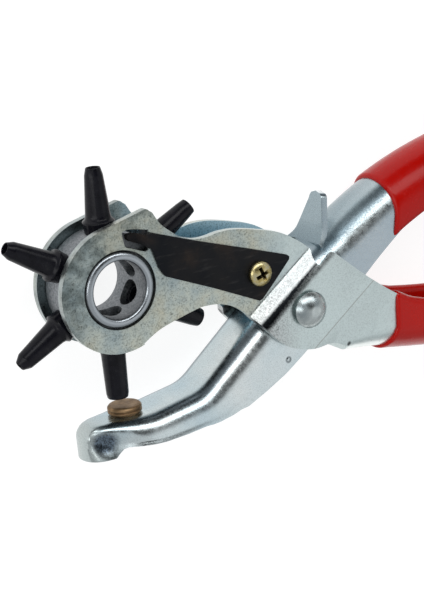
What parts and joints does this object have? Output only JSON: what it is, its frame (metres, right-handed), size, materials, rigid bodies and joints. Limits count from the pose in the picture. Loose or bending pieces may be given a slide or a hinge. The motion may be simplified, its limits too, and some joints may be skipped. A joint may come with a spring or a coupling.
{
  "type": "rotary hole punch",
  "caption": "Hand tool with a turning wheel of punch tubes between two cheeks, a hinged anvil jaw and two sleeved handles.",
  "frame": {"origin": "centre of the turret wheel's through bore, on the mid-plane between the cheeks", "axes": "+X from the wheel to the handle ends, +Y from the anvil towards the wheel, +Z along the hub and the pivot, out of the cheek that carries the index leaf; the tool lies on its side"},
  "size_m": [0.2286, 0.0682, 0.026],
  "materials": {
    "zinc_grey": "zinc plate, satin",
    "zinc_bright": "zinc plate, bright",
    "cast_grey": "matt plated casting",
    "black_oxide": "black oxide, satin",
    "spring_black": "black oxide, satin",
    "yellow_zinc": "yellow plated steel",
    "bronze": "dull bronze",
    "bright_steel": "polished steel",
    "spring_steel": "drawn wire",
    "red_vinyl": "dipped vinyl, glossy"
  },
  "bodies": {
    "frame": {"cheek_frame": "zinc_grey", "lower_grip": "red_vinyl", "pivot_rivet": "bright_steel", "opening_spring": "spring_steel", "index_leaf": "spring_black", "leaf_screw": "yellow_zinc"},
    "turret": {"turret_wheel": "cast_grey", "punch_tube_1": "black_oxide", "punch_tube_2": "black_oxide", "punch_tube_3": "black_oxide", "punch_tube_4": "black_oxide", "punch_tube_5": "black_oxide", "punch_tube_6": "black_oxide"},
    "lever": {"anvil_lever": "zinc_bright", "anvil": "bronze", "upper_grip": "red_vinyl"}
  },
  "joints": [
    {"name": "handle_pivot", "type": "hinge", "parent": "frame", "child": "lever", "pos_m": [0.0484, -0.0153, 0], "axis": [0, 0, 1], "range_deg": [-2.3, 7], "stiffness_Nm_per_rad": 1.2, "springref_deg": 8, "deforming": ["opening_spring"]},
    {"name": "turret_spin", "type": "hinge", "parent": "frame", "child": "turret", "pos_m": [0, 0, 0], "axis": [0, 0, 1], "continuous": true}
  ]
}
